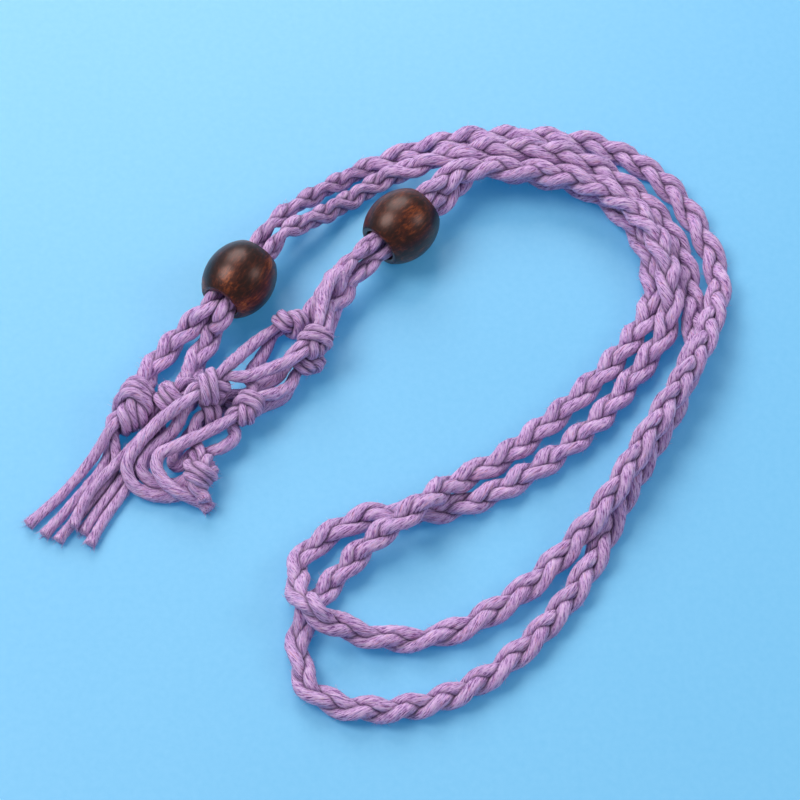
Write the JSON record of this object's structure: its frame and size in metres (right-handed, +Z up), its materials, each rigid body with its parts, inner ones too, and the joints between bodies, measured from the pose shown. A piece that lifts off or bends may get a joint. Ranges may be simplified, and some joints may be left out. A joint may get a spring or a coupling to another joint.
{
  "type": "macrame pouch necklace",
  "caption": "Braided cord necklace lying in loops, with a knotted net pouch at one end, knotted tails at the other and turned wooden beads threaded on both braids.",
  "frame": {"origin": "on the table under the middle of the whole object as it lies", "axes": "+Z up from the table; +X along the longer way, from the cut tails towards the far side of the loops; +Y away from the viewer, towards the upper side of the loops"},
  "size_m": [0.1174, 0.111, 0.012],
  "materials": {
    "lilac_waxed_cotton": "matte twisted cotton cord, lightly waxed",
    "dark_varnished_wood": "satin varnish over dark stain"
  },
  "bodies": {
    "cords": {"braid_a": "lilac_waxed_cotton", "braid_b": "lilac_waxed_cotton", "knot_upper_left": "lilac_waxed_cotton", "knot_upper_middle": "lilac_waxed_cotton", "knot_upper_right": "lilac_waxed_cotton", "knot_lower_left": "lilac_waxed_cotton", "knot_lower_right": "lilac_waxed_cotton", "knot_lower_back": "lilac_waxed_cotton", "bottom_knot": "lilac_waxed_cotton", "end_knot_a": "lilac_waxed_cotton", "end_knot_b": "lilac_waxed_cotton", "neck_cord_1": "lilac_waxed_cotton", "neck_cord_2": "lilac_waxed_cotton", "neck_cord_3": "lilac_waxed_cotton", "neck_cord_4": "lilac_waxed_cotton", "neck_cord_5": "lilac_waxed_cotton", "neck_cord_6": "lilac_waxed_cotton", "net_cord_1": "lilac_waxed_cotton", "net_cord_2": "lilac_waxed_cotton", "net_cord_3": "lilac_waxed_cotton", "net_cord_4": "lilac_waxed_cotton", "net_cord_5": "lilac_waxed_cotton", "net_cord_6": "lilac_waxed_cotton", "lower_cord_1": "lilac_waxed_cotton", "lower_cord_2": "lilac_waxed_cotton", "lower_cord_3": "lilac_waxed_cotton", "lower_cord_4": "lilac_waxed_cotton", "lower_cord_5": "lilac_waxed_cotton", "lower_cord_6": "lilac_waxed_cotton", "tail_a_1": "lilac_waxed_cotton", "tail_a_2": "lilac_waxed_cotton", "tail_a_3": "lilac_waxed_cotton", "tail_b_1": "lilac_waxed_cotton", "tail_b_2": "lilac_waxed_cotton", "tail_b_3": "lilac_waxed_cotton", "cut_end_1": "lilac_waxed_cotton", "cut_end_2": "lilac_waxed_cotton"},
    "slider_bead": {"slider_bead": "dark_varnished_wood"},
    "pouch_bead": {"pouch_bead": "dark_varnished_wood"}
  },
  "joints": [
    {"name": "slider_bead_slide", "type": "slide", "parent": "cords", "child": "slider_bead", "axis": [0.5344, 0.8453, 0], "range_m": [0, 0.005]},
    {"name": "pouch_bead_slide", "type": "slide", "parent": "cords", "child": "pouch_bead", "axis": [-0.6934, -0.7206, 0], "range_m": [0, 0.005]}
  ]
}
